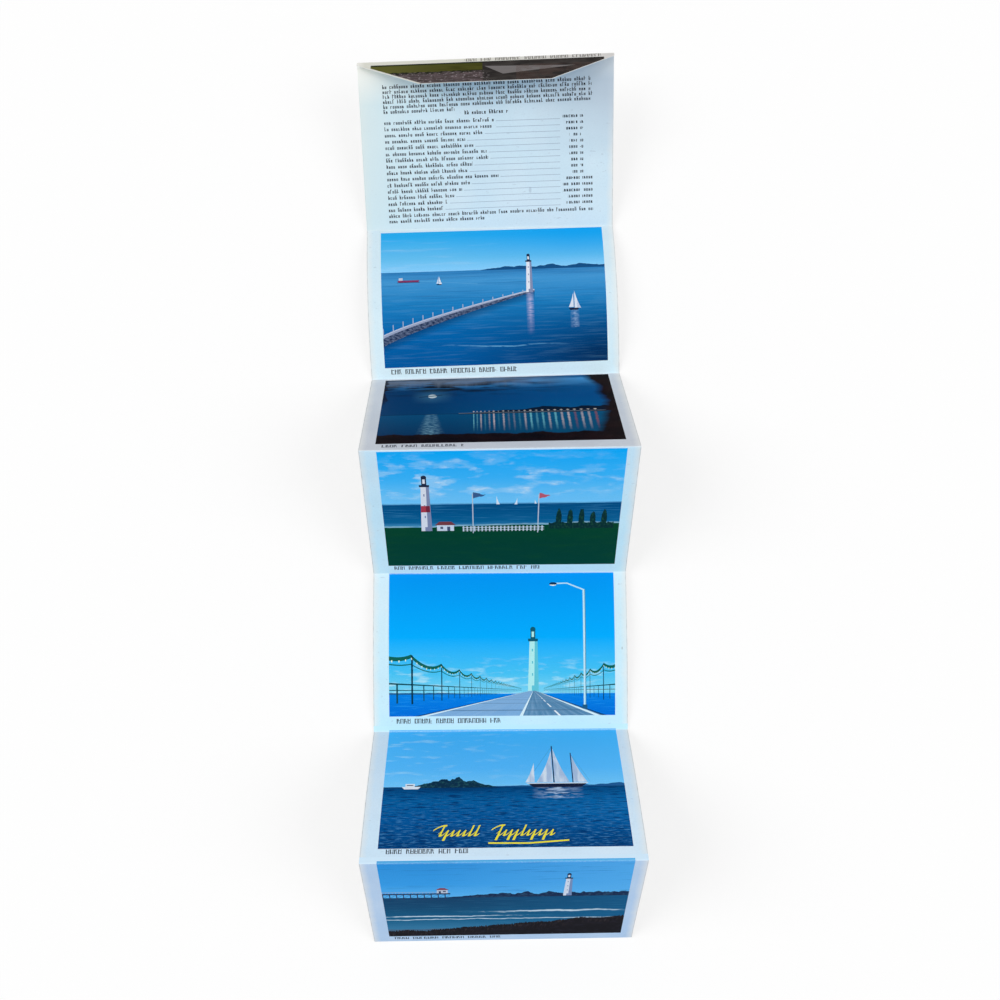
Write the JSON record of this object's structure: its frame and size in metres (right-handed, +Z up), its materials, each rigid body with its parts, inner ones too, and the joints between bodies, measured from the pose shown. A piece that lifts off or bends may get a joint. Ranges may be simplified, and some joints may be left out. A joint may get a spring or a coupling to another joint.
{
  "type": "accordion postcard folder",
  "caption": "Long card strip creased into equal picture panels with a short closing flap, pulled open so that panels stand as tents, lie flat and arch on a table.",
  "frame": {"origin": "middle of the folder's footprint, on the table", "axes": "+Y along the strip from its cut end to the crease of the closing flap, +X across the strip to the reader's right, +Z up out of the table"},
  "size_m": [0.155, 0.5314, 0.076],
  "materials": {
    "printed_card": "glossy coated printed card, plain matt on the back"
  },
  "bodies": {
    "root": {"folded_strip": "printed_card"}
  },
  "joints": []
}
